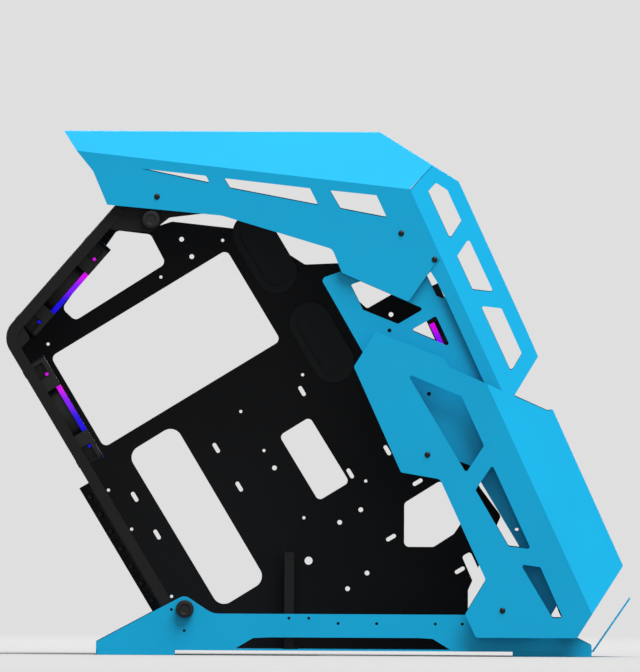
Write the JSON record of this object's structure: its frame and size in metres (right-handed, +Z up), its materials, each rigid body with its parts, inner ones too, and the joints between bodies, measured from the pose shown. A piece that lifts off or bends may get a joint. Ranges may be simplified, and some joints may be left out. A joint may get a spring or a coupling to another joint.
{
  "type": "mid tower pc case",
  "caption": "Open-frame mid tower computer case with a slanted tray, folded covers, lit fans and a folded base.",
  "frame": {"origin": "middle of the overall box on the floor", "axes": "+X to the front of the case, +Y to its right-hand side, +Z up"},
  "size_m": [0.6299, 0.2532, 0.527],
  "materials": {
    "blue_paint": "satin powder coat",
    "black_steel": "matt black powder coat",
    "fan_frame_plastic": "moulded",
    "fan_blade_plastic": "smoky moulded",
    "light_ring": "lit, magenta to blue",
    "grommet_rubber": "matt",
    "dark_fittings": "black oxide",
    "switch_plastic": "satin"
  },
  "bodies": {
    "case": {"base_tray": "blue_paint", "cable_grommet_1": "grommet_rubber", "cable_grommet_2": "grommet_rubber", "cover_screws": "dark_fittings", "cover_spacers": "dark_fittings", "foot_front_left": "blue_paint", "foot_front_right": "blue_paint", "foot_rear_left": "blue_paint", "foot_rear_right": "blue_paint", "front_1_fan_frame": "fan_frame_plastic", "front_1_fan_light_ring": "light_ring", "front_2_fan_frame": "fan_frame_plastic", "front_2_fan_light_ring": "light_ring", "front_3_fan_frame": "fan_frame_plastic", "front_3_fan_light_ring": "light_ring", "front_fan_plate": "black_steel", "front_lower_cover": "blue_paint", "front_upper_cover": "blue_paint", "motherboard_tray": "black_steel", "panel_knob_ear_left": "dark_fittings", "panel_knob_ear_right": "dark_fittings", "panel_knob_top_left": "dark_fittings", "panel_knob_top_right": "dark_fittings", "port_panel": "switch_plastic", "rear_corner_bracket_left": "black_steel", "rear_corner_bracket_right": "black_steel", "rear_frame": "black_steel", "rear_lower_fan_frame": "fan_frame_plastic", "rear_lower_fan_light_ring": "light_ring", "rear_upper_fan_frame": "fan_frame_plastic", "rear_upper_fan_light_ring": "light_ring", "side_plate_left": "blue_paint", "side_plate_right": "blue_paint", "slot_cover_1": "black_steel", "slot_cover_2": "black_steel", "slot_cover_3": "black_steel", "slot_cover_4": "black_steel", "slot_cover_5": "black_steel", "slot_cover_6": "black_steel", "slot_cover_7": "black_steel", "slot_rail": "black_steel", "slot_screws": "dark_fittings", "supply_bracket": "black_steel", "top_cover": "blue_paint", "top_cross_bar": "black_steel", "top_rail_left": "black_steel", "top_rail_right": "black_steel"},
    "rear_upper_rotor": {"rear_upper_fan_rotor": "fan_blade_plastic"},
    "rear_lower_rotor": {"rear_lower_fan_rotor": "fan_blade_plastic"},
    "front_1_rotor": {"front_1_fan_rotor": "fan_blade_plastic"},
    "front_2_rotor": {"front_2_fan_rotor": "fan_blade_plastic"},
    "front_3_rotor": {"front_3_fan_rotor": "fan_blade_plastic"},
    "power_button": {"power_button": "switch_plastic"},
    "reset_button": {"reset_button": "switch_plastic"}
  },
  "joints": [
    {"name": "rear_upper_fan_spin", "type": "hinge", "parent": "case", "child": "rear_upper_rotor", "pos_m": [-0.26823, -0.012, 0.37849], "axis": [0.7547, 0, -0.6561], "continuous": true},
    {"name": "rear_lower_fan_spin", "type": "hinge", "parent": "case", "child": "rear_lower_rotor", "pos_m": [-0.26813, -0.038, 0.23664], "axis": [0.8572, 0, 0.515], "continuous": true},
    {"name": "front_1_fan_spin", "type": "hinge", "parent": "case", "child": "front_1_rotor", "pos_m": [0.14463, 0, 0.32085], "axis": [-0.9078, 0, -0.4195], "continuous": true},
    {"name": "front_2_fan_spin", "type": "hinge", "parent": "case", "child": "front_2_rotor", "pos_m": [0.19496, 0, 0.21192], "axis": [-0.9078, 0, -0.4195], "continuous": true},
    {"name": "front_3_fan_spin", "type": "hinge", "parent": "case", "child": "front_3_rotor", "pos_m": [0.24529, 0, 0.10298], "axis": [-0.9078, 0, -0.4195], "continuous": true},
    {"name": "power_button_press", "type": "slide", "parent": "case", "child": "power_button", "axis": [0, 0, -1], "range_m": [0, 0.0012], "stiffness_N_per_m": 900, "springref_m": -0.0006},
    {"name": "reset_button_press", "type": "slide", "parent": "case", "child": "reset_button", "axis": [0, 0, -1], "range_m": [0, 0.0012], "stiffness_N_per_m": 900, "springref_m": -0.0006}
  ]
}
